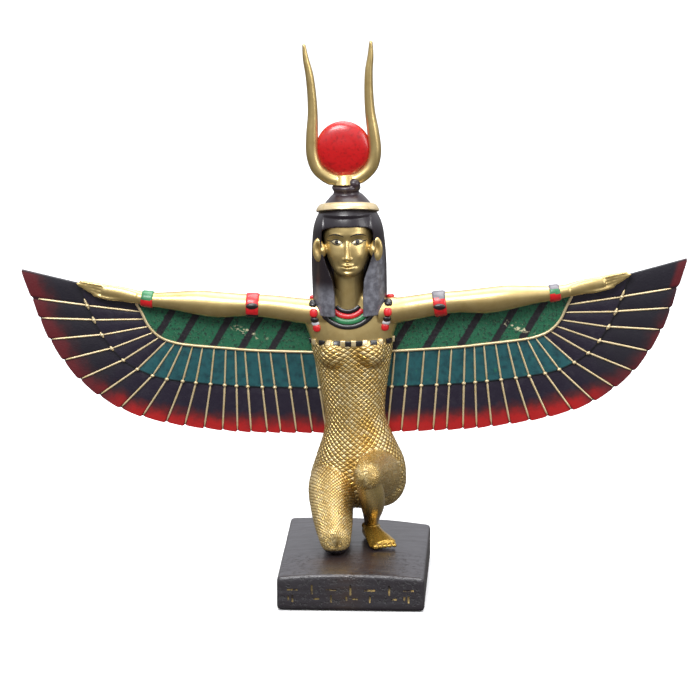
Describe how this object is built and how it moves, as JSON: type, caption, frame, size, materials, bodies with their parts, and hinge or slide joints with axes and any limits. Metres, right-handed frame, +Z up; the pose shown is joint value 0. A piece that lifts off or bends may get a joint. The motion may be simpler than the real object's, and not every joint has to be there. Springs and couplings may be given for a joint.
{
  "type": "winged isis figurine",
  "caption": "Painted resin souvenir of a kneeling winged goddess with outstretched arms, horned sun-disc crown and scale-pattern dress, on a low rectangular plinth.",
  "frame": {"origin": "middle of the plinth's flat underside", "axes": "+Z up, the figure faces -Y, +X to the right of someone who looks at its face"},
  "size_m": [0.1654, 0.0581, 0.1344],
  "materials": {
    "black_resin": "satin black paint over cast stone resin, dull gold in the strokes on the front face",
    "gold_paint": "metallic gold paint, satin, with amber in the hollows",
    "crown_gold": "metallic gold paint on the horns, bright gloss red on the disc",
    "wing_paint": "satin green, teal, navy and red paint with thin gold lines"
  },
  "bodies": {
    "root": {"plinth": "black_resin", "figure": "gold_paint", "crown": "crown_gold", "wing_left": "wing_paint", "wing_right": "wing_paint"}
  },
  "joints": []
}
